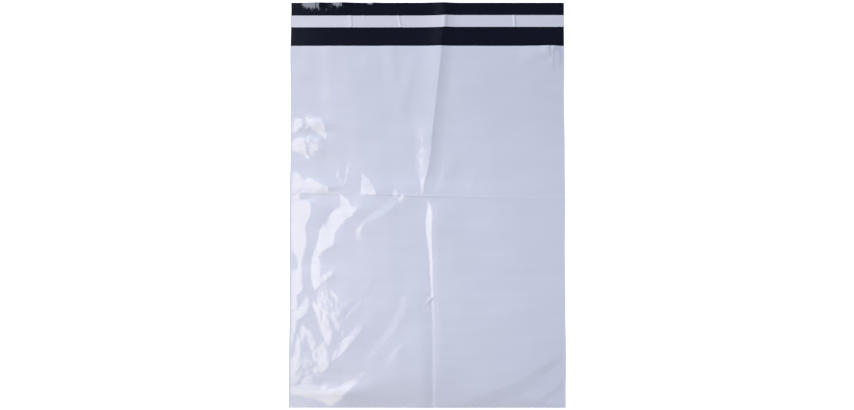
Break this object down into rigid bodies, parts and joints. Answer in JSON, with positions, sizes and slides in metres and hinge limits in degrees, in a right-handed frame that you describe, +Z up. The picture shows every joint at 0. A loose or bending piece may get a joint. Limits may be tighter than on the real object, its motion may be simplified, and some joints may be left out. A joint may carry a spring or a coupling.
{
  "type": "poly mailer bag",
  "caption": "Flat film mailing bag, open at the mouth, with side welds, a folded bottom and a closing flap that carries a glue band under a peel-off liner.",
  "frame": {"origin": "on the surface the bag lies on, under the middle of its outline with the flap open", "axes": "+Z up out of the front of the bag, +Y from the folded bottom towards the flap, +X to the right seen from the front"},
  "size_m": [0.325, 0.48, 0.0068],
  "materials": {
    "film": "glossy pale film outside, black inside",
    "liner": "satin pale strip",
    "adhesive": "clear tacky hot-melt glue"
  },
  "bodies": {
    "root": {"film_bag": "film", "release_liner": "liner", "adhesive_strip": "adhesive"}
  },
  "joints": []
}
